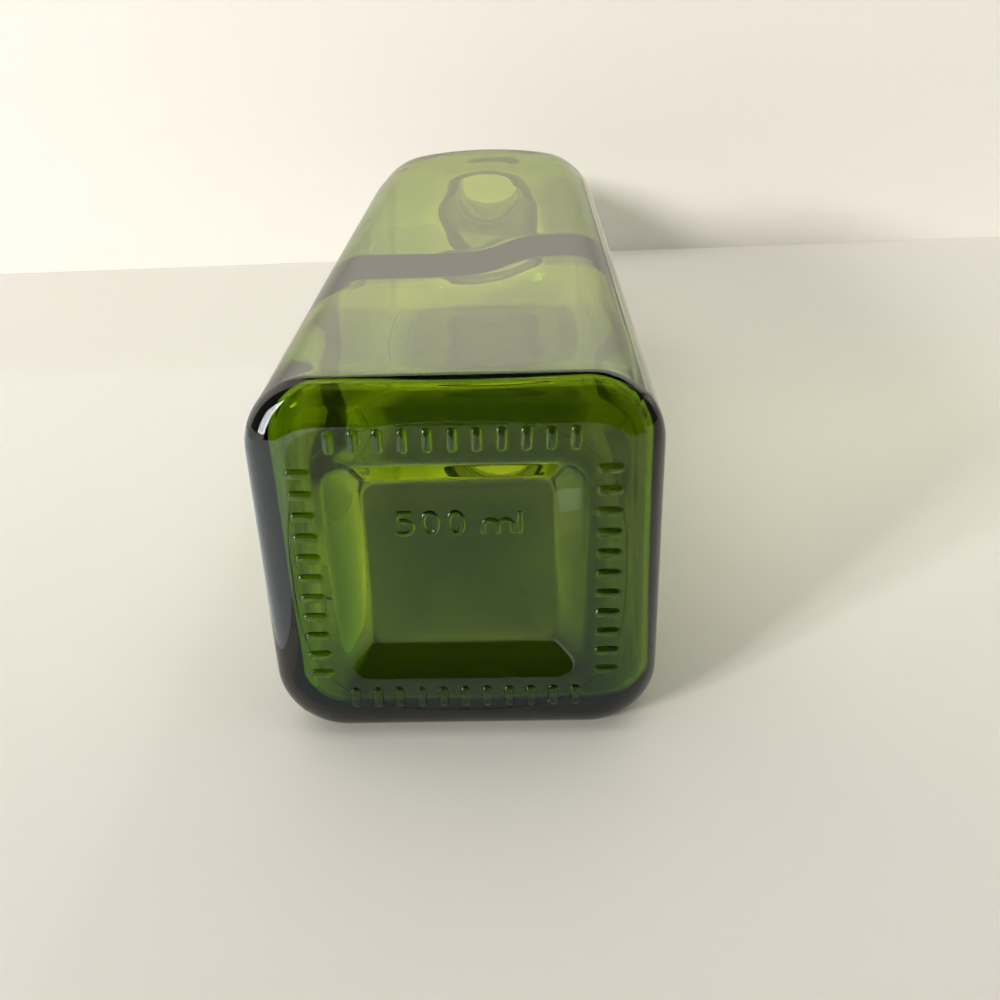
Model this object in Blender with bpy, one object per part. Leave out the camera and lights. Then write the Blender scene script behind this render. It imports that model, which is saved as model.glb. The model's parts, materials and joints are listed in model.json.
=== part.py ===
"""A marasca bottle: a square 500 ml bottle of green glass, empty and open, lying on one flat side.

The bottle is one piece of glass. It is modelled standing, on its axis Z with its base plane at height 0,
as one wall of rings that starts in the middle of the base, runs up the outside, over the lip and down
the inside to the middle of the floor. The low relief is then fused on: knurls round the base, the
capacity mark in its panel and the thread round the mouth. The object's own rotation lays the bottle
down along +Y, with its base towards -Y and one side panel on the ground at z = 0.
"""
import math

import bmesh
import bpy
from mathutils import Matrix, Vector

MM = 0.001

# Driving dimensions of the body, in millimetres.
BODY_WIDTH = 58.5        # across two flat side panels
CORNER_RADIUS = 10.6     # of the four upright corners
HEEL_RADIUS = 6.5        # how far in from the side panels the heel begins
HEEL_HEIGHT = 5.0        # how far up them it ends
SHOULDER_HEIGHT = 165.0  # where the domed shoulder begins at the corners
DOME_RADIUS = 37.5       # of the dome, centred on the axis at the shoulder height
BLEND = 3.0              # how softly the dome runs into the side panels
TOTAL_HEIGHT = 261.5     # base plane to lip

# The wall and the hollow. The wall's thickness changes with height: it is thick at the heel, thin above
# it, and thick again above the wave that the last blow left a third of the way up.
WALL_KNOTS = ((5.0, 1.8), (46.0, 1.76), (53.0, 1.84), (70.0, 2.6), (165.0, 1.7))
WAVE_SHIFT = 13.0        # how much higher the wave lies on the right
WAVE_STEP = (6.0, 4.0)   # where across the body it climbs, and over what width
HEEL_EXTRA = (0.9, 2.6, 2.5, 1.1)   # how much thicker the heel's wall is: right, below, left and top
HEEL_TILT = 0.1                     # how much more of the left's extra lies below than above
HEEL_FADE = (10.0, 38.0)            # the heights between which that fades out
INNER_HEEL = 2.2         # where the hollow's sides turn into its floor
FLOOR_EDGE = 4.5         # height of the hollow's floor at its edge
FLOOR_MIDDLE = 7.7       # and in the middle
HOLLOW_HEIGHTS = (11.0, 17.0, 24.0, 31.0, 38.0, 45.0, 50.0, 55.0, 60.0, 65.0, 70.0, 76.0, 84.0, 100.0, 126.0)
INNER_DOME = 35.7
BORE_RADIUS = 10.5       # of the mouth
BORE_FOOT = 13.2         # radius inside the foot of the neck
BORE_TOP = 11.8          # radius inside the neck ring

# The neck and its screw finish.
NECK_FOOT = 15.0         # radius at the foot of the neck
NECK_TOP = 14.3          # radius below the neck ring
NECK_FILLET = 12.0        # between dome and neck
BORE_FILLET = 24.0       # between the hollow's dome and the bore
RING_RADIUS = 16.8       # of the ring under the finish
FINISH_HEIGHT = 24.0     # lip to neck ring
FINISH_RADIUS = 14.2     # the plain barrel that the thread stands on
BEAD_RADIUS = 15.3
LIP_RADIUS = 13.8
THREAD_RADIUS = 15.15
THREAD_LEAD = 3.2
THREAD_TURNS = 1.6
THREAD_STEPS = 22        # per turn

# The base.
PANEL_RIM = 17.9         # half-width of the sunk square panel at the base plane
PANEL_FLOOR = 13.7       # half-width of its flat floor
PANEL_DEPTH = 3.1
PANEL_RIM_CORNER = 4.2
PANEL_FLOOR_CORNER = 2.0
PANEL_ROUNDING = 1.2     # how far back the edges of its sloping sides are rounded
KNURLS_PER_SIDE = 11
KNURL_PITCH = 3.33
KNURL_CENTRE = 21.3      # distance of the rows from the axis
KNURL_SIZE = (1.8, 3.9)  # width and length
KNURL_HEIGHT = 0.5
KNURL_BEVEL = 0.4

# The capacity mark, read from below with the axis -Y of the standing bottle upwards.
MARK_HEIGHT = 3.4        # of a figure
MARK_LINE = 5.3          # the line it stands on, above the axis
MARK_STROKE = 0.36       # radius of a stroke
MARK_SINK = 0.12         # how far a stroke's centre lies inside the glass
FIGURE_WIDTH = 0.62      # all glyph sizes from here are in figure heights
SMALL_HEIGHT = 0.62
DOT_PLACES = ((-6.1, -4.5), (9.0, -4.8))
DOT_RADIUS = 0.4

# Rings and facets.
SIDE_STEPS = 8
CORNER_STEPS = 6
RING_POINTS = 4 * (SIDE_STEPS + CORNER_STEPS)
GLASS_GREEN = (0.13, 0.26, 0.015, 1.0)


# --- Sections -----------------------------------------------------------------------------------

def steps(count, first=0.0, last=1.0):
    """count + 1 values from first to last."""
    return [first + (last - first) * i / count for i in range(count + 1)]


def square_section(half, corner):
    """Points round a square with rounded corners, evenly along its sides and round its corners."""
    straight = half - corner
    points = []
    for quarter in range(4):
        turn = Matrix.Rotation(quarter * math.pi / 2, 2)
        for step in range(SIDE_STEPS):
            along = straight * (2 * step / SIDE_STEPS - 1)
            points.append(turn @ Vector((half, along)))
        for step in range(CORNER_STEPS):
            angle = math.pi / 2 * step / CORNER_STEPS
            offset = Vector((math.cos(angle), math.sin(angle))) * corner
            points.append(turn @ (Vector((straight, straight)) + offset))
    return points


def soft_least(a, b):
    """The smaller of two distances, rounded off where they are within BLEND of each other."""
    near = max(BLEND - abs(a - b), 0.0) / BLEND
    return min(a, b) - near * near * BLEND / 4


def between(knots, at):
    """A value read from (place, value) knots joined by straight lines."""
    if at <= knots[0][0]:
        return knots[0][1]
    for (low, first), (high, last) in zip(knots, knots[1:]):
        if at <= high:
            return first + (last - first) * (at - low) / (high - low)
    return knots[-1][1]


def outward():
    """The outward direction at each point of a square section."""
    points = []
    for quarter in range(4):
        turn = Matrix.Rotation(quarter * math.pi / 2, 2)
        points += [turn @ Vector((1.0, 0.0))] * SIDE_STEPS
        angles = [math.pi / 2 * step / CORNER_STEPS for step in range(CORNER_STEPS)]
        points += [turn @ Vector((math.cos(a), math.sin(a))) for a in angles]
    return points


OUTWARD = outward()


def held_within(section, limit):
    """A section whose points are held within a circle."""
    return [p * (soft_least(p.length, limit) / p.length) for p in section]


def round_section(radius):
    """A circle, with its points in the same directions as the body's."""
    return [p * (radius / p.length) for p in square_section(BODY_WIDTH / 2, CORNER_RADIUS)]


# --- The wall of rings --------------------------------------------------------------------------

def base_rings():
    """From the sunk panel's floor out over its sloping sides to the flat that carries the knurls."""
    slope = ((PANEL_FLOOR - 1.5, PANEL_DEPTH), (PANEL_FLOOR, PANEL_DEPTH), (PANEL_RIM, 0.0),
             (PANEL_RIM + 1.5, 0.0))
    for half, height in rounded(slope, PANEL_ROUNDING, 2):
        t = (half - PANEL_FLOOR) / (PANEL_RIM - PANEL_FLOOR)
        corner = PANEL_FLOOR_CORNER + (PANEL_RIM_CORNER - PANEL_FLOOR_CORNER) * max(-0.4, t)
        yield square_section(half, corner), height


def heel_rings(half, corner, heel):
    """A quarter turn from the flat base into the upright sides."""
    for angle in steps(5, 0.0, math.pi / 2):
        inset = heel * (1 - math.sin(angle))
        yield square_section(half - inset, corner - inset), HEEL_HEIGHT * (1 - math.cos(angle))


def dome_rings(half, corner, dome, neck, fillet):
    """The shoulder: the body held within a dome, which a hollow fillet leads into the neck."""
    for rise in (-12.0, -7.0, -3.0):
        limit = 2 * dome - math.sqrt(dome * dome - rise * rise)
        yield held_within(square_section(half, corner), limit), SHOULDER_HEIGHT + rise
    reach = dome + fillet
    last_angle = math.acos((neck + fillet) / reach)
    for angle in steps(9, 0.0, last_angle):
        section = held_within(square_section(half, corner), dome * math.cos(angle))
        yield section, SHOULDER_HEIGHT + dome * math.sin(angle)
    top = SHOULDER_HEIGHT + reach * math.sin(last_angle)
    for angle in steps(4, last_angle, 0.0)[1:]:
        radius = neck + fillet * (1 - math.cos(angle))
        yield round_section(radius), top - fillet * math.sin(angle)


def thin_or_thick(section, height):
    """A section of the hollow, drawn in or let out to give the wall its thickness at each point."""
    middle, width = WAVE_STEP
    points = []
    for point, out in zip(section, OUTWARD):
        climb = WAVE_SHIFT * (1 + math.tanh((point.x - middle) / width)) / 2
        points.append(point - out * between(WALL_KNOTS, height - climb))
    return points


def heel_fade(height):
    """1 at the heel and 0 above it."""
    low, high = HEEL_FADE
    return (1 + math.cos(math.pi * min(1.0, max(0.0, (height - low) / (high - low))))) / 2


def heel_extra(point, out):
    """The heel's extra thickness at a point of a section."""
    right, below, left, top = HEEL_EXTRA
    left *= 1 + HEEL_TILT * point.y / (BODY_WIDTH / 2)
    return out.x * out.x * (right if out.x > 0 else left) + out.y * out.y * (below if out.y > 0 else top)


def hollow_section(height, inset=0.0):
    """The hollow's section at a height, drawn in by inset where the floor rounds into the sides."""
    fade = heel_fade(height)
    section = thin_or_thick(square_section(BODY_WIDTH / 2, CORNER_RADIUS), height)
    return [p - out * (inset + fade * heel_extra(p, out)) for p, out in zip(section, OUTWARD)]


def hollow_rings():
    """The hollow's floor and its straight sides, from the middle of the floor up."""
    edge = hollow_section(FLOOR_EDGE, INNER_HEEL)
    for t in steps(5, 0.04, 1.0)[:-1]:
        rise = (FLOOR_MIDDLE - FLOOR_EDGE) * (1 + math.cos(math.pi * t)) / 2
        yield [p * t for p in edge], FLOOR_EDGE + rise
    for angle in steps(4, 0.0, math.pi / 2):
        height = FLOOR_EDGE + INNER_HEEL * (1 - math.cos(angle))
        yield hollow_section(height, INNER_HEEL * (1 - math.sin(angle))), height
    for height in HOLLOW_HEIGHTS:
        yield hollow_section(height), height


def inner_dome_rings():
    """The inside of the shoulder and of the neck's foot."""
    reach = INNER_DOME + BORE_FILLET
    last_angle = math.acos((BORE_FOOT + BORE_FILLET) / reach)
    for rise in (-12.0, -7.0, -3.0):
        height = SHOULDER_HEIGHT + rise
        limit = 2 * INNER_DOME - math.sqrt(INNER_DOME * INNER_DOME - rise * rise)
        yield held_within(hollow_section(height), limit), height
    for angle in steps(9, 0.0, last_angle):
        height = SHOULDER_HEIGHT + INNER_DOME * math.sin(angle)
        yield held_within(hollow_section(height), INNER_DOME * math.cos(angle)), height
    top = SHOULDER_HEIGHT + reach * math.sin(last_angle)
    for angle in steps(4, last_angle, 0.0)[1:]:
        radius = BORE_FOOT + BORE_FILLET * (1 - math.cos(angle))
        yield round_section(radius), top - BORE_FILLET * math.sin(angle)


def finish_rings():
    """The neck's top end: ring, bead, the barrel for the thread, and the lip over to the bore."""
    ring = TOTAL_HEIGHT - FINISH_HEIGHT
    profile = (
        (NECK_TOP, ring - 3.6), (RING_RADIUS - 0.5, ring - 1.9), (RING_RADIUS, ring - 1.2),
        (RING_RADIUS, ring - 0.6), (RING_RADIUS - 0.6, ring), (FINISH_RADIUS, ring + 0.6),
        (FINISH_RADIUS, ring + 5.0), (BEAD_RADIUS - 0.2, ring + 6.2), (BEAD_RADIUS, ring + 7.0),
        (BEAD_RADIUS, ring + 9.2), (FINISH_RADIUS, ring + 10.2), (FINISH_RADIUS, TOTAL_HEIGHT - 2.0),
        (LIP_RADIUS, TOTAL_HEIGHT - 0.7), (LIP_RADIUS - 0.9, TOTAL_HEIGHT),
        (BORE_RADIUS + 0.8, TOTAL_HEIGHT), (BORE_RADIUS, TOTAL_HEIGHT - 0.9),
        (BORE_RADIUS, ring - 1.0), (BORE_TOP, ring - 7.0), (BORE_TOP + 0.1, ring - 10.0),
    )
    for radius, height in profile:
        yield round_section(radius), height


def rounded(profile, radius, count):
    """A profile whose inner corners are cut back by up to radius and rounded."""
    points = [Vector(profile[0])]
    for before, at, after in zip(profile, profile[1:], profile[2:]):
        before, at, after = Vector(before), Vector(at), Vector(after)
        back = min(radius, (before - at).length * 0.45)
        ahead = min(radius, (after - at).length * 0.45)
        start = at + (before - at).normalized() * back
        end = at + (after - at).normalized() * ahead
        for t in steps(count):
            points.append(start.lerp(at, t).lerp(at.lerp(end, t), t))
    points.append(Vector(profile[-1]))
    return points


def wall_rings():
    """Every ring of the wall in order, as a section and its height."""
    half = BODY_WIDTH / 2
    yield from base_rings()
    yield from heel_rings(half, CORNER_RADIUS, HEEL_RADIUS)
    yield from dome_rings(half, CORNER_RADIUS, DOME_RADIUS, NECK_FOOT, NECK_FILLET)
    yield from finish_rings()
    yield from reversed(list(hollow_rings()) + list(inner_dome_rings()))


def place_ring(ring, section, height):
    """Set a ring's vertices on the points of a section at a height."""
    for vert, point in zip(ring, section):
        vert.co = (point[0] * MM, point[1] * MM, height * MM)


def extrude_ring(bm, ring, section, height):
    """Extrude an open ring's edges and set the new ring on a section at a height."""
    edges = [bm.edges.get(pair) for pair in zip(ring, ring[1:] + ring[:1])]
    made = bmesh.ops.extrude_edge_only(bm, edges=edges)["geom"]
    new = {item for item in made if isinstance(item, bmesh.types.BMVert)}
    ring = [next(e.other_vert(v) for e in v.link_edges if e.other_vert(v) in new) for v in ring]
    place_ring(ring, section, height)
    return ring


def wall_mesh():
    """The bare bottle, one closed wall."""
    rings = list(wall_rings())
    bm = bmesh.new()
    ring = bmesh.ops.create_circle(bm, segments=RING_POINTS, radius=MM, cap_ends=True)["verts"]
    place_ring(ring, *rings[0])
    for section, height in rings[1:]:
        ring = extrude_ring(bm, ring, section, height)
    bmesh.ops.contextual_create(bm, geom=[bm.edges.get(p) for p in zip(ring, ring[1:] + ring[:1])])
    bmesh.ops.recalc_face_normals(bm, faces=bm.faces)
    mesh = bpy.data.meshes.new("bottle")
    bm.to_mesh(mesh)
    bm.free()
    return mesh


# --- The relief ---------------------------------------------------------------------------------

def knurl_mesh():
    """One knurl, long in Y, with its lower edges bevelled and its upper half inside the glass."""
    width, length = KNURL_SIZE
    bm = bmesh.new()
    bmesh.ops.create_cube(bm, size=1.0)
    bmesh.ops.scale(bm, vec=(width * MM, length * MM, 2 * KNURL_HEIGHT * MM), verts=bm.verts)
    low = [e for e in bm.edges if all(v.co.z < 0 for v in e.verts)]
    bmesh.ops.bevel(bm, geom=low, offset=KNURL_BEVEL * MM, segments=1, profile=0.5,
                    affect="EDGES", material=-1)
    mesh = bpy.data.meshes.new("knurl")
    bm.to_mesh(mesh)
    bm.free()
    return mesh


def add_knurls(relief):
    """A row of knurls along each of the base's four sides."""
    mesh = knurl_mesh()
    for side in range(4):
        turn = Matrix.Rotation(side * math.pi / 2, 4, "Z")
        for index in range(KNURLS_PER_SIDE):
            along = (index - (KNURLS_PER_SIDE - 1) / 2) * KNURL_PITCH
            knurl = bpy.data.objects.new("knurl", mesh)
            knurl.matrix_world = turn @ Matrix.Translation((along * MM, KNURL_CENTRE * MM, 0.0))
            relief.objects.link(knurl)


def add_tube(relief, name, points, radius, closed, sides):
    """A poly curve with a round bevel, made a mesh."""
    curve = bpy.data.curves.new(name, "CURVE")
    curve.dimensions = "3D"
    curve.bevel_depth = radius * MM
    curve.bevel_resolution = sides // 2 - 2
    curve.use_fill_caps = True
    spline = curve.splines.new("POLY")
    spline.points.add(len(points) - 1)
    for target, (x, y, z) in zip(spline.points, points):
        target.co = (x * MM, y * MM, z * MM, 1.0)
    spline.use_cyclic_u = closed
    source = bpy.data.objects.new(name, curve)
    mesh = bpy.data.meshes.new_from_object(source)
    bpy.data.objects.remove(source)
    relief.objects.link(bpy.data.objects.new(name, mesh))


def arc(centre, radii, first, last, count):
    """Points along an ellipse between two angles in degrees."""
    angles = [math.radians(a) for a in steps(count, first, last)]
    return [(centre[0] + radii[0] * math.cos(a), centre[1] + radii[1] * math.sin(a)) for a in angles]


def glyph_nought():
    radii = (FIGURE_WIDTH / 2, 0.5)
    return [(arc((radii[0], 0.5), radii, 0, 330, 11), True)]


def glyph_five():
    bowl = arc((0.24, 0.31), (FIGURE_WIDTH - 0.24, 0.31), 110, -140, 7)
    return [([(FIGURE_WIDTH, 1.0), (0.08, 1.0), (0.02, 0.56)] + bowl, False)]


def glyph_m():
    arch = SMALL_HEIGHT / 2
    strokes = []
    for left in (0.0, 2 * arch):
        hump = arc((left + arch, SMALL_HEIGHT - arch), (arch, arch), 180, 0, 5)
        strokes.append(([(left, 0.0)] + hump + [(left + 2 * arch, 0.0)], False))
    return strokes


def glyph_l():
    return [([(0.0, 0.0), (0.0, 1.0)], False)]


def add_mark(relief):
    """The capacity, 500 ml, and two small dots below it, raised on the sunk panel's floor."""
    layout = ((-8.6, glyph_five), (-5.0, glyph_nought), (-1.35, glyph_nought),
              (3.6, glyph_m), (8.9, glyph_l))
    for left, glyph in layout:
        for stroke, closed in glyph():
            points = [(left + u * MARK_HEIGHT, -MARK_LINE - v * MARK_HEIGHT, PANEL_DEPTH + MARK_SINK)
                      for u, v in stroke]
            add_tube(relief, "stroke", points, MARK_STROKE, closed, 6)
    for x, y in DOT_PLACES:
        bm = bmesh.new()
        place = Matrix.Translation((x * MM, -y * MM, (PANEL_DEPTH + MARK_SINK) * MM))
        bmesh.ops.create_icosphere(bm, subdivisions=1, radius=DOT_RADIUS * MM, matrix=place)
        mesh = bpy.data.meshes.new("dot")
        bm.to_mesh(mesh)
        bm.free()
        relief.objects.link(bpy.data.objects.new("dot", mesh))


def add_thread(relief):
    """A screw thread that rises from the barrel and sinks back into it at both ends."""
    count = round(THREAD_TURNS * THREAD_STEPS)
    depth = THREAD_RADIUS - FINISH_RADIUS
    points = []
    for t in steps(count):
        angle = 2 * math.pi * THREAD_TURNS * t
        ease = min(1.0, 6 * t, 6 * (1 - t))
        radius = THREAD_RADIUS - depth * (1.9 - ease)
        height = TOTAL_HEIGHT - 4.0 - THREAD_LEAD * THREAD_TURNS * (1 - t)
        points.append((radius * math.cos(angle), radius * math.sin(angle), height))
    add_tube(relief, "thread", points, depth * 0.9, False, 6)


# --- The bottle ---------------------------------------------------------------------------------

def glass_material():
    """Clear olive-green glass."""
    material = bpy.data.materials.new("green_glass")
    material.use_nodes = True
    shader = material.node_tree.nodes["Principled BSDF"]
    shader.inputs["Base Color"].default_value = GLASS_GREEN
    shader.inputs["Roughness"].default_value = 0.03
    shader.inputs["Metallic"].default_value = 0.0
    shader.inputs["Transmission Weight"].default_value = 1.0
    shader.inputs["IOR"].default_value = 1.52
    material.diffuse_color = GLASS_GREEN
    return material


def fuse(bottle, relief):
    """Join the relief to the bottle with one Boolean union and remove the loose pieces."""
    union = bottle.modifiers.new("relief", "BOOLEAN")
    union.operation = "UNION"
    union.operand_type = "COLLECTION"
    union.collection = relief
    union.solver = "EXACT"
    graph = bpy.context.evaluated_depsgraph_get()
    fused = bpy.data.meshes.new_from_object(bottle.evaluated_get(graph))
    bottle.modifiers.clear()
    bottle.data = fused
    for piece in list(relief.objects):
        bpy.data.objects.remove(piece)
    bpy.data.collections.remove(relief)


def lay_down(bottle):
    """Turn the bottle onto a side panel, with the middle of its length over the origin."""
    bottle.rotation_euler = (-math.pi / 2, 0.0, 0.0)
    middle = (TOTAL_HEIGHT - KNURL_HEIGHT) / 2
    bottle.location = (0.0, -middle * MM, BODY_WIDTH / 2 * MM)


def main():
    for old in list(bpy.data.objects):
        bpy.data.objects.remove(old)
    scene = bpy.context.scene.collection
    bottle = bpy.data.objects.new("bottle", wall_mesh())
    scene.objects.link(bottle)
    relief = bpy.data.collections.new("relief")
    scene.children.link(relief)
    add_knurls(relief)
    add_mark(relief)
    add_thread(relief)
    fuse(bottle, relief)
    bottle.data.materials.clear()
    bottle.data.materials.append(glass_material())
    bottle.data.shade_smooth()
    bottle.data.set_sharp_from_angle(angle=math.radians(35))
    lay_down(bottle)


main()
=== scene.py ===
"""The looks of the marasca bottle: one wall of clear olive-green glass with its moulded base, lying on a
pale table in front of a pale wall.

The bottle is modelled standing, in millimetres, with its axis on Z and its base plane at height 0, as one
skin of rings that starts in the middle of the base, runs up the outside, over the lip and down the inside.
The knurls, the capacity mark, the mould seam round the base and the screw thread are fused on, and the
finished mesh is then laid down along +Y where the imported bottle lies.
"""
import json
import math

import bmesh
import bpy
from mathutils import Matrix, Vector, noise

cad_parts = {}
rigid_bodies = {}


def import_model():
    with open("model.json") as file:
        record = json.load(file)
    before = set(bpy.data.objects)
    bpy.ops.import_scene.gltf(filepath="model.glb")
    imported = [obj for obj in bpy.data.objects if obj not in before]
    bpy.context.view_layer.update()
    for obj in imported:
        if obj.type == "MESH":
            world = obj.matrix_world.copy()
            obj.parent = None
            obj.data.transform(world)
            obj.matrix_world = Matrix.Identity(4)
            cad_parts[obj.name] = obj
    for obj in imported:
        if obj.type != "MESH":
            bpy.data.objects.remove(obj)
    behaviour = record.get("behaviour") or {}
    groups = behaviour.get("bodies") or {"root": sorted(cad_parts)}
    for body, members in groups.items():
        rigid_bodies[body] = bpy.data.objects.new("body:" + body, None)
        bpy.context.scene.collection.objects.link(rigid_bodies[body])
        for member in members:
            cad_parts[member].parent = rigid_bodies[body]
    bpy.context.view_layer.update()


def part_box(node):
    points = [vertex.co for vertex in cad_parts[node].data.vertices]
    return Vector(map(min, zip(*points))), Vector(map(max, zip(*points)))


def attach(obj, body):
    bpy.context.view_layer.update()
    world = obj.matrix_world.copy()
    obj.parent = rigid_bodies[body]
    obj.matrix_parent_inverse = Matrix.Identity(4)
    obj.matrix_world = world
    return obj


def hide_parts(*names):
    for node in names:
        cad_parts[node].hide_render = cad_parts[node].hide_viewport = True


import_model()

MM = 0.001

# The body, in millimetres.
BODY_WIDTH = 58.5
CORNER_RADIUS = 10.6
HEEL_RADIUS = 6.5         # how far in from the side panels it begins
HEEL_HEIGHT = 5.0         # how far up them it ends
SHOULDER_HEIGHT = 165.0   # where the dome is widest
DOME_RADIUS = 37.5
DOME_LEAD = 14.0          # how far below that it starts to draw the corners in
BLEND = 3.0               # how near the dome a point is when the two round off into each other
TOTAL_HEIGHT = 261.5

# The hollow. The wall's thickness changes with height: it is thick at the heel, thin above it, and thick
# again above the wave that the last blow left a third of the way up.
WALL_KNOTS = ((5.0, 1.8), (46.0, 1.76), (53.0, 1.84), (70.0, 2.6), (165.0, 1.7))
WAVE_SHIFT = 13.0                   # how much higher the wave lies on the right
WAVE_STEP = (6.0, 4.0)              # where across the body it climbs, and over what width
HEEL_EXTRA = (0.9, 2.6, 2.5, 1.1)   # how much thicker the wall is at the heel: right, below, left and top
HEEL_TILT = 0.1                     # how much more of the left's extra lies below than above
HEEL_FADE = (10.0, 38.0)            # the heights between which that fades out
UNEVEN = (0.025, 0.06)              # how far the outside swings in, and the inside either way
UNEVEN_LENGTH = 18.0
UNEVEN_FLOOR = 3.0                  # how many times more the hollow's floor swings
UNEVEN_FLOOR_FADE = (8.0, 14.0)     # the heights between which that dies away
UNEVEN_FADE = (206.0, 226.0)        # the heights between which all of it dies away
INNER_HEEL = 2.2
FLOOR_EDGE = 4.5
FLOOR_MIDDLE = 7.7
FLOOR_HUB = 0.04                    # the floor's first ring, as a share of its edge
INNER_DOME = 35.7
BORE_RADIUS = 10.5
BORE_FOOT = 13.2
BORE_TOP = 11.8

# The neck and its screw finish.
NECK_FOOT = 15.0
NECK_TOP = 14.3
NECK_FILLET = 12.0
BORE_FILLET = 24.0
RING_RADIUS = 16.8
FINISH_HEIGHT = 24.0
FINISH_RADIUS = 14.2
BEAD_RADIUS = 15.3
LIP_RADIUS = 13.8
THREAD_RADIUS = 15.15
THREAD_LEAD = 3.2
THREAD_TURNS = 1.6
THREAD_DROP = 4.0     # how far below the lip it ends
THREAD_ROUND = 0.9    # its cross-section's radius as a share of how far it stands out
THREAD_EASE = 6       # the share of its length, 1 in this, over which each end sinks in
FINISH_ROUNDING = 1.0

# The base.
PANEL_RIM = 17.9
PANEL_FLOOR = 13.7
PANEL_DEPTH = 3.1
PANEL_RIM_CORNER = 4.2
PANEL_FLOOR_CORNER = 2.0
PANEL_ROUNDING = 1.2
PANEL_MARGIN = 1.5   # how much flat glass belongs to each of its edges
FLAT_MARGIN = 0.1    # how far inside the heel the flat's last ring lies
KNURLS_PER_SIDE = 11
KNURL_PITCH = 3.33
KNURL_CENTRE = 21.3
KNURL_SIZE = (1.8, 3.9)
KNURL_HEIGHT = 0.5
KNURL_SINK = 0.3

# The capacity mark.
MARK_HEIGHT = 3.4
MARK_LINE = 5.3
MARK_STROKE = 0.42
MARK_SINK = 0.08
FIGURE_WIDTH = 0.62   # this and the next as a share of the mark's height
SMALL_HEIGHT = 0.62
DOT_PLACES = ((-6.1, -4.5), (9.0, -4.8))
DOT_RADIUS = 0.4

# The mould's seams: one round the base, one up two opposite corners.
BASE_SEAM_HALF = 23.9
BASE_SEAM_POWER = 3.0
BASE_SEAM_RADIUS = 0.11
BASE_SEAM_RAISE = 0.02
CORNER_SEAM_ANGLES = (-1.4, -0.7, 0.0, 0.7, 1.4)   # degrees from the corner's middle
CORNER_SEAM_CLEAR = 2.0                            # degrees from it in which no other step lies
CORNER_SEAM_HEIGHT = 0.1

# Steps round a ring, up the outside and down the hollow.
SIDE_STEPS = 16
CORNER_STEPS = 14
PANEL_STEPS = 4
HEEL_STEPS = 16
BODY_STEPS = 34
LEAD_STEPS = 8
DOME_STEPS = 30
FILLET_STEPS = 12
FINISH_STEPS = 5
FLOOR_STEPS = 8
INNER_HEEL_STEPS = 10
HOLLOW_STEPS = 90
BASE_SEAM_STEPS = 160
THREAD_STEPS = 60     # in each turn


# --- Sections -----------------------------------------------------------------------------------

def steps(count, first=0.0, last=1.0):
    """count + 1 values from first to last."""
    return [first + (last - first) * i / count for i in range(count + 1)]


def corner_angles():
    """Degrees round one corner, with close steps in the middle for the seam."""
    even = [a for a in steps(CORNER_STEPS, 0.0, 90.0)[:-1] if abs(a - 45.0) > CORNER_SEAM_CLEAR]
    return sorted(even + [45.0 + a for a in CORNER_SEAM_ANGLES])


CORNER_ANGLES = corner_angles()
RING_POINTS = 4 * (SIDE_STEPS + len(CORNER_ANGLES))


def between(knots, at):
    """A value read from (place, value) knots joined by straight lines."""
    if at <= knots[0][0]:
        return knots[0][1]
    for (low, first), (high, last) in zip(knots, knots[1:]):
        if at <= high:
            return first + (last - first) * (at - low) / (high - low)
    return knots[-1][1]


def square_section(half, corner, seam=0.0):
    """Points round a square with rounded corners; two opposite corners carry the mould's seam."""
    straight = half - corner
    points = []
    for quarter in range(4):
        turn = Matrix.Rotation(quarter * math.pi / 2, 2)
        for step in range(SIDE_STEPS):
            along = straight * (2 * step / SIDE_STEPS - 1)
            points.append(turn @ Vector((half, along)))
        for degrees in CORNER_ANGLES:
            angle = math.radians(degrees)
            reach = corner
            if quarter % 2 == 1:
                reach += seam * max(0.0, 1 - abs(degrees - 45.0) / CORNER_SEAM_ANGLES[-1])
            offset = Vector((math.cos(angle), math.sin(angle))) * reach
            points.append(turn @ (Vector((straight, straight)) + offset))
    return points


def body_section(inset=0.0, seam=CORNER_SEAM_HEIGHT):
    """The body's outside with its seams, drawn in by inset where the heel rounds into the base."""
    return square_section(BODY_WIDTH / 2 - inset, CORNER_RADIUS - inset, seam)


def soft_least(a, b):
    """The smaller of two distances, rounded off where they are within BLEND of each other."""
    near = max(BLEND - abs(a - b), 0.0) / BLEND
    return min(a, b) - near * near * BLEND / 4


def outward():
    """The outward direction at each point of a square section."""
    points = []
    for quarter in range(4):
        turn = Matrix.Rotation(quarter * math.pi / 2, 2)
        points += [turn @ Vector((1.0, 0.0))] * SIDE_STEPS
        angles = [math.radians(degrees) for degrees in CORNER_ANGLES]
        points += [turn @ Vector((math.cos(a), math.sin(a))) for a in angles]
    return points


OUTWARD = outward()


def held_within(section, limit):
    """A section whose points are held within a circle."""
    return [p * (soft_least(p.length, limit) / p.length) for p in section]


def round_section(radius):
    """A circle, with its points in the same directions as the body's."""
    return [p * (radius / p.length) for p in body_section(seam=0.0)]


# --- The skin of rings --------------------------------------------------------------------------

def base_rings():
    """From the sunk panel's floor out over its sloping sides to the flat that carries the knurls."""
    slope = ((PANEL_FLOOR - PANEL_MARGIN, PANEL_DEPTH), (PANEL_FLOOR, PANEL_DEPTH), (PANEL_RIM, 0.0),
             (PANEL_RIM + PANEL_MARGIN, 0.0))
    for half, height in rounded(slope, PANEL_ROUNDING, PANEL_STEPS):
        t = (half - PANEL_FLOOR) / (PANEL_RIM - PANEL_FLOOR)
        corner = PANEL_FLOOR_CORNER + (PANEL_RIM_CORNER - PANEL_FLOOR_CORNER) * t
        yield square_section(half, corner), height
    yield body_section(HEEL_RADIUS + FLAT_MARGIN, 0.0), 0.0


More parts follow.
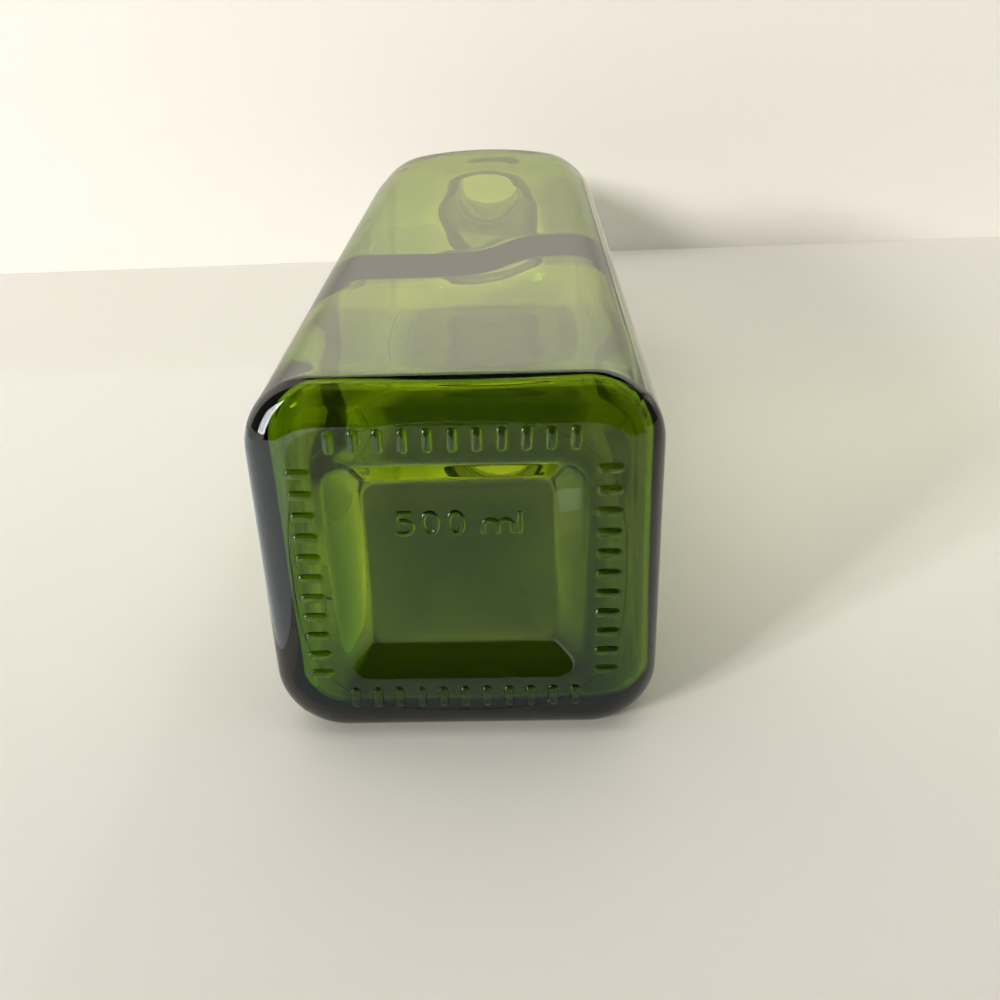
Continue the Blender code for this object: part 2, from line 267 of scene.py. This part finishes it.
def heel_rings():
    """A quarter turn from the flat base into the upright sides, over which the corner seams rise."""
    for angle in steps(HEEL_STEPS, 0.0, math.pi / 2):
        section = body_section(HEEL_RADIUS * (1 - math.sin(angle)), CORNER_SEAM_HEIGHT * min(1.0, angle))
        yield section, HEEL_HEIGHT * (1 - math.cos(angle))


def body_rings():
    """The straight sides."""
    for height in steps(BODY_STEPS, HEEL_HEIGHT, SHOULDER_HEIGHT - DOME_LEAD)[1:-1]:
        yield body_section(), height


def dome_rings(section_at, dome, neck, fillet):
    """The shoulder: the section at each height held within a dome, which a fillet leads into the neck."""
    for rise in steps(LEAD_STEPS, -DOME_LEAD, 0.0)[:-1]:
        height = SHOULDER_HEIGHT + rise
        yield held_within(section_at(height), 2 * dome - math.sqrt(dome * dome - rise * rise)), height
    reach = dome + fillet
    last_angle = math.acos((neck + fillet) / reach)
    for angle in steps(DOME_STEPS, 0.0, last_angle):
        height = SHOULDER_HEIGHT + dome * math.sin(angle)
        yield held_within(section_at(height), dome * math.cos(angle)), height
    top = SHOULDER_HEIGHT + reach * math.sin(last_angle)
    for angle in steps(FILLET_STEPS, last_angle, 0.0)[1:]:
        yield round_section(neck + fillet * (1 - math.cos(angle))), top - fillet * math.sin(angle)


def thin_or_thick(section, height):
    """A section of the hollow, drawn in or let out to give the wall its thickness at each point."""
    middle, width = WAVE_STEP
    points = []
    for point, out in zip(section, OUTWARD):
        climb = WAVE_SHIFT * (1 + math.tanh((point.x - middle) / width)) / 2
        points.append(point - out * between(WALL_KNOTS, height - climb))
    return points


def fade(height, span):
    """1 below a span of heights, 0 above it and a straight line within it."""
    low, high = span
    return min(1.0, max(0.0, (high - height) / (high - low)))


def heel_extra(point, out):
    """The heel's extra thickness at a point of a section."""
    right, below, left, top = HEEL_EXTRA
    left *= 1 + HEEL_TILT * point.y / (BODY_WIDTH / 2)
    return out.x * out.x * (right if out.x > 0 else left) + out.y * out.y * (below if out.y > 0 else top)


def hollow_section(height, inset=0.0):
    """The hollow's section at a height, drawn in by inset where the floor rounds into the sides."""
    share = (1 - math.cos(math.pi * fade(height, HEEL_FADE))) / 2
    section = thin_or_thick(body_section(seam=0.0), height)
    return [p - out * (inset + share * heel_extra(p, out)) for p, out in zip(section, OUTWARD)]


def hollow_rings():
    """The hollow's floor and its straight sides, from the middle of the floor up."""
    edge = hollow_section(FLOOR_EDGE, INNER_HEEL)
    for t in steps(FLOOR_STEPS, FLOOR_HUB, 1.0)[:-1]:
        rise = (FLOOR_MIDDLE - FLOOR_EDGE) * (1 + math.cos(math.pi * t)) / 2
        yield [p * t for p in edge], FLOOR_EDGE + rise
    for angle in steps(INNER_HEEL_STEPS, 0.0, math.pi / 2):
        height = FLOOR_EDGE + INNER_HEEL * (1 - math.cos(angle))
        yield hollow_section(height, INNER_HEEL * (1 - math.sin(angle))), height
    for height in steps(HOLLOW_STEPS, FLOOR_EDGE + INNER_HEEL, SHOULDER_HEIGHT - DOME_LEAD)[1:-1]:
        yield hollow_section(height), height


def finish_profile():
    """Radius and height of the neck's top end, as corners before they are rounded, from the ring up over
    the bead and the lip and down into the bore."""
    ring = TOTAL_HEIGHT - FINISH_HEIGHT
    return (
        (NECK_TOP, ring - 4.2), (NECK_TOP, ring - 3.2), (RING_RADIUS, ring - 1.6),
        (RING_RADIUS, ring - 0.2), (FINISH_RADIUS, ring + 0.4), (FINISH_RADIUS, ring + 5.0),
        (BEAD_RADIUS, ring + 6.4), (BEAD_RADIUS, ring + 9.4), (FINISH_RADIUS, ring + 10.2),
        (FINISH_RADIUS, TOTAL_HEIGHT - 2.0), (LIP_RADIUS, TOTAL_HEIGHT - 1.4),
        (LIP_RADIUS, TOTAL_HEIGHT), (BORE_RADIUS, TOTAL_HEIGHT), (BORE_RADIUS, ring - 1.0),
        (BORE_TOP, ring - 7.0), (BORE_TOP + 0.1, ring - 10.0),
    )


def rounded(profile, radius, count):
    """A profile whose inner corners are rounded from up to radius away, and never from over 0.45 of the
    way to the next corner."""
    points = [Vector(profile[0])]
    for before, at, after in zip(profile, profile[1:], profile[2:]):
        before, at, after = Vector(before), Vector(at), Vector(after)
        back = min(radius, (before - at).length * 0.45)
        ahead = min(radius, (after - at).length * 0.45)
        start = at + (before - at).normalized() * back
        end = at + (after - at).normalized() * ahead
        for t in steps(count):
            points.append(start.lerp(at, t).lerp(at.lerp(end, t), t))
    points.append(Vector(profile[-1]))
    return points


def outside_rings():
    """Every ring of the base, the outside, the finish and the bore's top, as a section and its height."""
    yield from base_rings()
    yield from heel_rings()
    yield from body_rings()
    yield from dome_rings(lambda height: body_section(), DOME_RADIUS, NECK_FOOT, NECK_FILLET)
    for radius, height in rounded(finish_profile(), FINISH_ROUNDING, FINISH_STEPS):
        yield round_section(radius), height


def inside_rings():
    """Every ring of the hollow below that, from the neck down."""
    shoulder = dome_rings(hollow_section, INNER_DOME, BORE_FOOT, BORE_FILLET)
    yield from reversed(list(hollow_rings()) + list(shoulder))


def place_ring(ring, section, height):
    """Set a ring's vertices on the points of a section at a height."""
    for vert, point in zip(ring, section):
        vert.co = (point[0], point[1], height)


def extrude_ring(bm, ring, section, height):
    """Extrude an open ring's edges and set the new ring on a section at a height."""
    edges = [bm.edges.get(pair) for pair in zip(ring, ring[1:] + ring[:1])]
    made = bmesh.ops.extrude_edge_only(bm, edges=edges)["geom"]
    new = {item for item in made if isinstance(item, bmesh.types.BMVert)}
    ring = [next(e.other_vert(v) for e in v.link_edges if e.other_vert(v) in new) for v in ring]
    place_ring(ring, section, height)
    return ring


def new_mesh(name, bm):
    """A mesh from a bmesh, which is freed."""
    mesh = bpy.data.meshes.new(name)
    bm.to_mesh(mesh)
    bm.free()
    return mesh


def new_object(name, bm):
    """An object in the scene from a bmesh."""
    piece = bpy.data.objects.new(name, new_mesh(name, bm))
    bpy.context.scene.collection.objects.link(piece)
    return piece


def make_uneven(bm, first_inside):
    """Swing the blown surfaces gently in and out; the base and the neck's finish are left exact."""
    outside, inside = UNEVEN
    for index, vert in enumerate(bm.verts):
        height = vert.co.z
        swell = noise.noise(vert.co / UNEVEN_LENGTH) * fade(height, UNEVEN_FADE)
        if index >= first_inside:
            more = UNEVEN_FLOOR * fade(height, UNEVEN_FLOOR_FADE)
            vert.co -= vert.normal * inside * swell * (1 + more)
        elif height > 0.0:
            vert.co -= vert.normal * outside * (swell + 1) / 2 * min(1.0, height / HEEL_HEIGHT)


def wall():
    """The bare bottle, one closed wall."""
    outside, inside = list(outside_rings()), list(inside_rings())
    bm = bmesh.new()
    ring = bmesh.ops.create_circle(bm, segments=RING_POINTS, radius=1.0, cap_ends=True)["verts"]
    place_ring(ring, *outside[0])
    for section, height in outside[1:] + inside:
        ring = extrude_ring(bm, ring, section, height)
    bmesh.ops.contextual_create(bm, geom=[bm.edges.get(p) for p in zip(ring, ring[1:] + ring[:1])])
    bmesh.ops.recalc_face_normals(bm, faces=bm.faces)
    bm.normal_update()
    make_uneven(bm, RING_POINTS * len(outside))
    return new_object("bottle_glass", bm)


# --- The relief ---------------------------------------------------------------------------------

def knurl():
    """One knurl, long in Y, a low bar with round ends whose upper part lies inside the glass."""
    width, length = KNURL_SIZE
    bm = bmesh.new()
    bmesh.ops.create_uvsphere(bm, u_segments=18, v_segments=9, radius=1.0,
                              matrix=Matrix.Rotation(math.pi / 2, 4, "X"))
    bmesh.ops.scale(bm, vec=(width / 2, width / 2, KNURL_HEIGHT + KNURL_SINK), verts=bm.verts)
    for side in (-1, 1):
        half = [v for v in bm.verts if v.co.y * side > 0]
        bmesh.ops.translate(bm, vec=(0.0, side * (length - width) / 2, 0.0), verts=half)
    bmesh.ops.translate(bm, vec=(0.0, 0.0, KNURL_SINK), verts=bm.verts)
    return new_mesh("knurl", bm)


def add_knurls(relief):
    """A row of knurls along each of the base's four sides."""
    mesh = knurl()
    for side in range(4):
        turn = Matrix.Rotation(side * math.pi / 2, 4, "Z")
        for index in range(KNURLS_PER_SIDE):
            along = (index - (KNURLS_PER_SIDE - 1) / 2) * KNURL_PITCH
            bar = bpy.data.objects.new("knurl", mesh)
            bar.matrix_world = turn @ Matrix.Translation((along, KNURL_CENTRE, 0.0))
            relief.objects.link(bar)


def add_tube(relief, name, points, radius, closed, sides):
    """A poly curve with a round bevel, made a mesh."""
    curve = bpy.data.curves.new(name, "CURVE")
    curve.dimensions = "3D"
    curve.bevel_depth = radius
    curve.bevel_resolution = sides // 2 - 2
    curve.use_fill_caps = True
    spline = curve.splines.new("POLY")
    spline.points.add(len(points) - 1)
    for target, (x, y, z) in zip(spline.points, points):
        target.co = (x, y, z, 1.0)
    spline.use_cyclic_u = closed
    source = bpy.data.objects.new(name, curve)
    mesh = bpy.data.meshes.new_from_object(source)
    bpy.data.objects.remove(source)
    relief.objects.link(bpy.data.objects.new(name, mesh))


def arc(centre, radii, first, last, count):
    """Points along an ellipse between two angles in degrees."""
    angles = [math.radians(a) for a in steps(count, first, last)]
    return [(centre[0] + radii[0] * math.cos(a), centre[1] + radii[1] * math.sin(a)) for a in angles]


# Each glyph is a list of strokes, and a stroke is its points and whether it closes. The points are given
# from the line's left end, as shares of the mark's height.

def glyph_nought():
    """The figure 0."""
    radii = (FIGURE_WIDTH / 2, 0.5)
    return [(arc((radii[0], 0.5), radii, 0, 350, 35), True)]


def glyph_five():
    """The figure 5."""
    bowl = arc((0.24, 0.31), (FIGURE_WIDTH - 0.24, 0.31), 110, -140, 20)
    return [([(FIGURE_WIDTH, 1.0), (0.08, 1.0), (0.02, 0.56)] + bowl, False)]


def glyph_m():
    """A small m."""
    arch = SMALL_HEIGHT / 2
    strokes = []
    for left in (0.0, 2 * arch):
        hump = arc((left + arch, SMALL_HEIGHT - arch), (arch, arch), 180, 0, 12)
        strokes.append(([(left, 0.0)] + hump + [(left + 2 * arch, 0.0)], False))
    return strokes


def glyph_l():
    """A small l."""
    return [([(0.0, 0.0), (0.0, 1.0)], False)]


def add_mark(relief):
    """The capacity, 500 ml, and two small dots below it, raised on the sunk panel's floor."""
    layout = ((-8.6, glyph_five), (-5.0, glyph_nought), (-1.35, glyph_nought),
              (3.6, glyph_m), (8.9, glyph_l))
    for left, glyph in layout:
        for stroke, closed in glyph():
            points = [(left + u * MARK_HEIGHT, -MARK_LINE - v * MARK_HEIGHT, PANEL_DEPTH + MARK_SINK)
                      for u, v in stroke]
            add_tube(relief, "stroke", points, MARK_STROKE, closed, 12)
    for x, y in DOT_PLACES:
        bm = bmesh.new()
        place = Matrix.Translation((x, -y, PANEL_DEPTH + MARK_SINK))
        bmesh.ops.create_icosphere(bm, subdivisions=2, radius=DOT_RADIUS, matrix=place)
        relief.objects.link(bpy.data.objects.new("dot", new_mesh("dot", bm)))


def add_base_seam(relief):
    """The thin raised line where the base mould met the sides, a soft square just outside the knurls."""
    points = []
    for angle in steps(BASE_SEAM_STEPS, 0.0, 2 * math.pi)[:-1]:
        c, s = abs(math.cos(angle)), abs(math.sin(angle))
        radius = BASE_SEAM_HALF / (c ** BASE_SEAM_POWER + s ** BASE_SEAM_POWER) ** (1 / BASE_SEAM_POWER)
        x, y = radius * math.cos(angle), radius * math.sin(angle)
        inset = max(0.0, max(abs(x), abs(y)) - (BODY_WIDTH / 2 - HEEL_RADIUS))
        heel = HEEL_HEIGHT * (1 - math.sqrt(1 - (inset / HEEL_RADIUS) ** 2))
        points.append((x, y, heel + BASE_SEAM_RAISE))
    add_tube(relief, "base_seam", points, BASE_SEAM_RADIUS, True, 6)


def add_thread(relief):
    """A screw thread that rises from the barrel and sinks back into it at both ends."""
    depth = THREAD_RADIUS - FINISH_RADIUS
    points = []
    for t in steps(round(THREAD_TURNS * THREAD_STEPS)):
        angle = 2 * math.pi * THREAD_TURNS * t
        ease = min(1.0, THREAD_EASE * t, THREAD_EASE * (1 - t))
        radius = THREAD_RADIUS - depth * (1 + THREAD_ROUND - ease)
        height = TOTAL_HEIGHT - THREAD_DROP - THREAD_LEAD * THREAD_TURNS * (1 - t)
        points.append((radius * math.cos(angle), radius * math.sin(angle), height))
    add_tube(relief, "thread", points, depth * THREAD_ROUND, False, 10)


def fuse(bottle, relief):
    """Join the relief to the bottle with one Boolean union and remove the loose pieces."""
    union = bottle.modifiers.new("relief", "BOOLEAN")
    union.operation = "UNION"
    union.operand_type = "COLLECTION"
    union.collection = relief
    union.solver = "EXACT"
    graph = bpy.context.evaluated_depsgraph_get()
    fused = bpy.data.meshes.new_from_object(bottle.evaluated_get(graph))
    bottle.modifiers.clear()
    bottle.data = fused
    for piece in list(relief.objects):
        bpy.data.objects.remove(piece)
    bpy.data.collections.remove(relief)


def lay_down(bottle):
    """Turn the standing millimetre mesh onto a side panel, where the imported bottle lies, in metres."""
    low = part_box("bottle")[0]
    base = low[1] + KNURL_HEIGHT * MM
    place = Matrix.Translation((0.0, base, BODY_WIDTH / 2 * MM))
    bottle.data.transform(place @ Matrix.Rotation(-math.pi / 2, 4, "X") @ Matrix.Scale(MM, 4))


# --- Materials ----------------------------------------------------------------------------------

GLASS_COLOUR = (0.743, 0.818, 0.0, 1.0)
GLASS_DENSITY = 1060.0   # how strongly it colours light, with the thickness in metres
GLASS_IOR = 1.52
TABLE_COLOUR = (0.79, 0.775, 0.72, 1.0)
WALL_COLOUR = (0.94, 0.905, 0.855, 1.0)
PAINT_ROUGHNESS = 0.7
PAINT_SHINE = 0.2


def node_material(name):
    """A new material with its nodes and links."""
    material = bpy.data.materials.new(name)
    material.use_nodes = True
    return material, material.node_tree.nodes, material.node_tree.links


def glass_material():
    """Clear olive-green glass: white at the surface, with its colour from the thickness."""
    material, nodes, links = node_material("green_glass")
    shader = nodes["Principled BSDF"]
    shader.inputs["Base Color"].default_value = (1.0, 1.0, 1.0, 1.0)
    shader.inputs["Roughness"].default_value = 0.0
    shader.inputs["IOR"].default_value = GLASS_IOR
    shader.inputs["Transmission Weight"].default_value = 1.0
    absorb = nodes.new("ShaderNodeVolumeAbsorption")
    absorb.inputs["Color"].default_value = GLASS_COLOUR
    absorb.inputs["Density"].default_value = GLASS_DENSITY
    links.new(absorb.outputs["Volume"], nodes["Material Output"].inputs["Volume"])
    return material


def matt_material(name, colour, one_sided=False):
    """A plain painted surface; a one-sided one is clear from behind."""
    material, nodes, links = node_material(name)
    shader = nodes["Principled BSDF"]
    shader.inputs["Base Color"].default_value = colour
    shader.inputs["Roughness"].default_value = PAINT_ROUGHNESS
    shader.inputs["Specular IOR Level"].default_value = PAINT_SHINE
    if one_sided:
        clear = nodes.new("ShaderNodeBsdfTransparent")
        side = nodes.new("ShaderNodeNewGeometry")
        mix = nodes.new("ShaderNodeMixShader")
        links.new(side.outputs["Backfacing"], mix.inputs["Fac"])
        links.new(shader.outputs["BSDF"], mix.inputs[1])
        links.new(clear.outputs["BSDF"], mix.inputs[2])
        links.new(mix.outputs["Shader"], nodes["Material Output"].inputs["Surface"])
    return material


def glow_material(name, colour, strength, rise=None):
    """Light of one strength, or of a strength that grows between two (height, strength) pairs."""
    material, nodes, links = node_material(name)
    glow = nodes.new("ShaderNodeEmission")
    glow.inputs["Color"].default_value = colour
    glow.inputs["Strength"].default_value = strength
    if rise:
        place = nodes.new("ShaderNodeTexCoord")
        split = nodes.new("ShaderNodeSeparateXYZ")
        spread = nodes.new("ShaderNodeMapRange")
        for end, (height, value) in zip(("Min", "Max"), rise):
            spread.inputs["From " + end].default_value = height
            spread.inputs["To " + end].default_value = value
        links.new(place.outputs["Object"], split.inputs[0])
        links.new(split.outputs["Z"], spread.inputs["Value"])
        links.new(spread.outputs["Result"], glow.inputs["Strength"])
    links.new(glow.outputs["Emission"], nodes["Material Output"].inputs["Surface"])
    return material


# --- The table and the wall -----------------------------------------------------------------------

TABLE_REACH = 2.5        # how far the table goes each way
TABLE_GAP = 0.0001       # air under the bottle, so that its glass never touches the table
WALL_REACH = 1.0
WALL_FOOT = 0.1635       # how far behind the origin the wall meets the table
WALL_TURN = 0.05         # radians about the upright


def stage():
    """A wide pale table, and a pale wall close behind the mouth."""
    bm = bmesh.new()
    bmesh.ops.create_grid(bm, x_segments=8, y_segments=8, size=TABLE_REACH)
    bmesh.ops.translate(bm, vec=(0.0, 0.0, -TABLE_GAP), verts=bm.verts)
    table = new_object("table", bm)
    table.data.materials.append(matt_material("table_paint", TABLE_COLOUR))
    bm = bmesh.new()
    bmesh.ops.create_grid(bm, x_segments=8, y_segments=8, size=WALL_REACH)
    stand = Matrix.Rotation(WALL_TURN, 4, "Z") @ Matrix.Translation((0.0, WALL_FOOT, WALL_REACH))
    bmesh.ops.transform(bm, matrix=stand @ Matrix.Rotation(math.pi / 2, 4, "X"), verts=bm.verts)
    back = new_object("wall", bm)
    back.data.materials.append(matt_material("wall_paint", WALL_COLOUR, one_sided=True))


# --- The light ----------------------------------------------------------------------------------

WINDOW_PLACE = (-2.38, -2.3, 1.15)
WINDOW_POWER = 48.0
WINDOW_COLOUR = (1.0, 0.98, 0.95)
PANE = (0.3, 0.6)
PANE_APART = 0.14
CEILING_HEIGHT = 1.8
CEILING_SIZE = (2.4, 2.4)
CEILING_POWER = 28.0
CEILING_COLOUR = (1.0, 0.97, 0.93)
TINT_PLACE = (0.09, -0.02, 0.3)
TINT_TARGET = (0.065, -0.03, 0.0)
TINT_SIZE = (0.04, 0.2)
TINT_POWER = 0.005
TINT_COLOUR = (0.9, 1.0, 0.42)
TINT_SPREAD = 0.5

ROOM_STRENGTH = 0.13
ROOM_COLOUR = (1.0, 0.98, 0.95, 1.0)
DARK_SIDE = (0.0, -0.87, 0.5)    # the way in which the room is dark
DARK_SPREAD = (0.6, 0.93)        # the cosines from it where the dark starts and is full
DARK_LEFT = 0.05                 # how much of the room's light is left there

# The cards' surfaces: a paint's colour, or a glow's colour and strength. The glows light nothing: they are
# painted reflections, highlights and light in the glass.
CARD_BLACK = (0.02, 0.02, 0.02, 1.0)
# The glow card's colour and its strength at two heights: a painted reflection, brighter with height.
WARM_COLOUR = (1.0, 0.94, 0.78, 1.0)
WARM_RISE = ((0.08, 0.62), (0.16, 1.55))   # two heights, each with its strength
GLOWS = {
    "painted_left_reflection": ((0.95, 1.0, 0.98, 1.0), 1.45),
    "painted_highlight": ((1.0, 1.0, 1.0, 1.0), 16.0),
    "painted_base_reflection": ((0.96, 1.1, 1.04, 1.0), 0.53),
    "painted_lime_light": ((1.0, 1.0, 0.7, 1.0), 0.95),
}

# How a card shows: as anything does but to the camera, in reflections alone, or through glass alone.
OPEN, REFLECTED, THROUGH_GLASS = range(3)

# The cards, none of which the camera sees: name, place, size, degrees up from the table, surface and how
# it shows.
CARDS = (
    # In front of the base and above it, where it shades the base.
    ("flag", (0.01, -0.29, 0.2), (0.22, 0.26), 60, "card_black", OPEN),
    # Upright in front of the base, and upright before the wall's upper part: black cards seen only in
    # reflections, painted dark reflections in the glass.
    ("screen", (0.0, -0.34, 0.6), (0.7, 1.2), 90, "card_black", REFLECTED),
    ("shade", (0.0, 0.154, 0.92), (1.1, 0.98), 90, "card_black", REFLECTED),
    # Upright before the wall's lower part: a glowing card, brighter with height, seen only in reflections,
    # a painted reflection in the glass.
    ("glow", (0.0, 0.155, 0.215), (1.1, 0.43), 90, "painted_warm_reflection", REFLECTED),
    # A glowing card on the table on the left, seen only in reflections: the painted reflection that makes
    # the glass's cool left side.
    ("left_reflection_glow", (-0.175, -0.18, 0.0006), (0.25, 0.44), 0, "painted_left_reflection", REFLECTED),
    # A glowing card on the table in front, seen only in reflections: a painted reflection in the base.
    ("apron", (0.0, -0.168, 0.0007), (0.08, 0.066), 0, "painted_base_reflection", REFLECTED),
    # A glowing card on the table on the left, seen only through the glass: painted light that makes the
    # lime band at the sunk panel's left.
    ("through", (-0.045, -0.09, 0.0009), (0.03, 0.11), 0, "painted_lime_light", THROUGH_GLASS),
    # Bright glowing cards upright on the left, seen only in reflections: painted highlights on the heel's
    # left corner.
    ("streak", (-1.28, -0.53, 0.36), (0.2, 0.7), 90, "painted_highlight", REFLECTED),
    ("streak", (-0.98, -0.53, 0.36), (0.2, 0.7), 90, "painted_highlight", REFLECTED),
    ("streak", (-0.72, -0.53, 0.36), (0.2, 0.7), 90, "painted_highlight", REFLECTED),
)


def area_light(name, place, target, size, power, colour):
    """A rectangular lamp that faces a target."""
    light = bpy.data.lights.new(name, "AREA")
    light.shape = "RECTANGLE"
    light.size, light.size_y = size
    light.energy = power
    light.color = colour
    lamp = bpy.data.objects.new(name, light)
    lamp.location = place
    lamp.rotation_euler = (Vector(target) - Vector(place)).to_track_quat("-Z", "Y").to_euler()
    bpy.context.scene.collection.objects.link(lamp)
    return lamp


def lamps():
    """A window of two panes at the front left, and a soft ceiling."""
    x, y, z = WINDOW_PLACE
    for name, side in (("left_pane", -PANE_APART), ("right_pane", PANE_APART)):
        place, target = (x + side, y - side, z), (side, -side, 0.0)
        area_light(name, place, target, PANE, WINDOW_POWER, WINDOW_COLOUR)
    above = (0.0, 0.0, CEILING_HEIGHT)
    ceiling = area_light("ceiling", above, (0.0, 0.0, 0.0), CEILING_SIZE, CEILING_POWER, CEILING_COLOUR)
    ceiling.visible_glossy = False


def tint():
    """The light that the glass lets through onto the table on its right."""
    lamp = area_light("tint", TINT_PLACE, TINT_TARGET, TINT_SIZE, TINT_POWER, TINT_COLOUR)
    lamp.data.spread = TINT_SPREAD
    lamp.visible_glossy = False
    lamp.visible_transmission = False


def card(name, place, size, tilt, material, shows):
    """A card of a width and height, tilted up from the table about X; only an open one lights or shades."""
    bm = bmesh.new()
    bmesh.ops.create_grid(bm, x_segments=1, y_segments=1, size=0.5)
    bmesh.ops.scale(bm, vec=(*size, 1.0), verts=bm.verts)
    turn = Matrix.Translation(place) @ Matrix.Rotation(math.radians(tilt), 4, "X")
    bmesh.ops.transform(bm, matrix=turn, verts=bm.verts)
    piece = new_object(name, bm)
    piece.data.materials.append(material)
    piece.visible_camera = False
    if shows != OPEN:
        piece.visible_diffuse = False
        piece.visible_shadow = False
        piece.visible_volume_scatter = False
        piece.visible_glossy = shows == REFLECTED
        piece.visible_transmission = shows == THROUGH_GLASS


def cards():
    """The card that shades the base, and the glowing and dark cards seen only in reflections or through the
    glass: painted reflections, highlights and light that give the glass its edges, colours and highlights.
    """
    surfaces = {
        "card_black": matt_material("card_black", CARD_BLACK),
        "painted_warm_reflection": glow_material("painted_warm_reflection", WARM_COLOUR, 1.0, WARM_RISE),
    }
    for name, (colour, strength) in GLOWS.items():
        surfaces[name] = glow_material(name, colour, strength)
    for name, place, size, tilt, surface, shows in CARDS:
        card(name, place, size, tilt, surfaces[surface], shows)


def room():
    """Even light from all round, but for a dark side in front of the bottle's base."""
    world = bpy.data.worlds.new("room")
    world.use_nodes = True
    nodes, links = world.node_tree.nodes, world.node_tree.links
    background = nodes["Background"]
    background.inputs["Color"].default_value = ROOM_COLOUR
    place = nodes.new("ShaderNodeTexCoord")
    facing = nodes.new("ShaderNodeVectorMath")
    facing.operation = "DOT_PRODUCT"
    facing.inputs[1].default_value = DARK_SIDE
    links.new(place.outputs["Generated"], facing.inputs[0])
    spread = nodes.new("ShaderNodeMapRange")
    spread.interpolation_type = "SMOOTHSTEP"
    spread.inputs["From Min"].default_value, spread.inputs["From Max"].default_value = DARK_SPREAD
    spread.inputs["To Min"].default_value = ROOM_STRENGTH
    spread.inputs["To Max"].default_value = ROOM_STRENGTH * DARK_LEFT
    links.new(facing.outputs["Value"], spread.inputs["Value"])
    links.new(spread.outputs["Result"], background.inputs["Strength"])
    bpy.context.scene.world = world


# --- The camera ---------------------------------------------------------------------------------

CAMERA_PLACE = (0.009653, -0.258103, 0.107723)
CAMERA_DOWN = 0.47924    # this and the next two in radians
CAMERA_YAW = -0.02699
CAMERA_ROLL = -0.03184
LENS = 37.71             # this and the next in millimetres
SENSOR_WIDTH = 36.0
CLIP_START = 0.01


def camera():
    """Just above and in front of the base, looking down along the bottle."""
    ahead = Vector((math.sin(CAMERA_YAW) * math.cos(CAMERA_DOWN),
                    math.cos(CAMERA_YAW) * math.cos(CAMERA_DOWN), -math.sin(CAMERA_DOWN)))
    level = Vector((math.cos(CAMERA_YAW), -math.sin(CAMERA_YAW), 0.0))
    upright = level.cross(ahead)
    right = level * math.cos(CAMERA_ROLL) + upright * math.sin(CAMERA_ROLL)
    up = upright * math.cos(CAMERA_ROLL) - level * math.sin(CAMERA_ROLL)
    lens = bpy.data.cameras.new("camera")
    lens.lens = LENS
    lens.sensor_width = SENSOR_WIDTH
    lens.clip_start = CLIP_START
    eye = bpy.data.objects.new("camera", lens)
    turn = Matrix((right, up, -ahead)).transposed().to_4x4()
    eye.matrix_world = Matrix.Translation(CAMERA_PLACE) @ turn
    bpy.context.scene.collection.objects.link(eye)
    bpy.context.scene.camera = eye


# --- Making it ----------------------------------------------------------------------------------

SHARP_ANGLE = 38   # degrees between faces from which an edge isn't smoothed

bottle = wall()
relief = bpy.data.collections.new("relief")
bpy.context.scene.collection.children.link(relief)
add_knurls(relief)
add_mark(relief)
add_base_seam(relief)
add_thread(relief)
fuse(bottle, relief)
bottle.data.materials.clear()
bottle.data.materials.append(glass_material())
bottle.data.shade_smooth()
bottle.data.set_sharp_from_angle(angle=math.radians(SHARP_ANGLE))
lay_down(bottle)
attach(bottle, "root")
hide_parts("bottle")

stage()
lamps()
cards()
tint()
room()
camera()
bpy.context.scene.view_settings.view_transform = "Standard"
